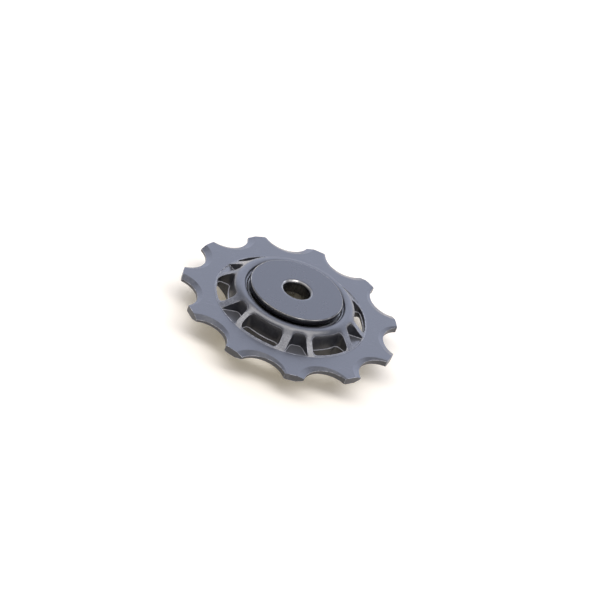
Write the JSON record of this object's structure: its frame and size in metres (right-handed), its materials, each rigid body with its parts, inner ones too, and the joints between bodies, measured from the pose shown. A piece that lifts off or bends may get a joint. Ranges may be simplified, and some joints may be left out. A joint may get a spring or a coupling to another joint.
{
  "type": "derailleur jockey wheel",
  "caption": "Toothed plastic guide wheel for a bicycle derailleur cage, turning on a sealed ball bearing that two dust caps clamp.",
  "frame": {"origin": "centre of the wheel, on the bolt's axis midway between the two faces", "axes": "+Z along the wheel's axis, -Y towards the tooth that the first pocket lies behind"},
  "size_m": [0.043, 0.0426, 0.0094],
  "materials": {
    "wheel_plastic": "satin moulded plastic, dark slate grey",
    "bearing_steel": "ground bearing steel",
    "ball_steel": "polished steel",
    "cage_plastic": "moulded nylon",
    "seal_rubber": "matt moulded rubber",
    "cap_metal": "dark grey coated turned metal, satin gloss"
  },
  "bodies": {
    "core": {"bearing_inner_ring": "bearing_steel", "upper_cap": "cap_metal", "lower_cap": "cap_metal"},
    "wheel": {"pulley_wheel": "wheel_plastic", "bearing_outer_ring": "bearing_steel", "upper_seal": "seal_rubber", "lower_seal": "seal_rubber"},
    "ball_set": {"ball_1": "ball_steel", "ball_2": "ball_steel", "ball_3": "ball_steel", "ball_4": "ball_steel", "ball_5": "ball_steel", "ball_6": "ball_steel", "ball_7": "ball_steel", "ball_cage": "cage_plastic"}
  },
  "joints": [
    {"name": "wheel_spin", "type": "hinge", "parent": "core", "child": "wheel", "pos_m": [0, 0, 0], "axis": [0, 0, 1], "continuous": true},
    {"name": "ball_set_spin", "type": "hinge", "parent": "core", "child": "ball_set", "pos_m": [0, 0, 0], "axis": [0, 0, 1], "continuous": true}
  ],
  "couplings": [
    {"joint": "ball_set_spin", "follows": "wheel_spin", "ratio": 0.65265}
  ]
}
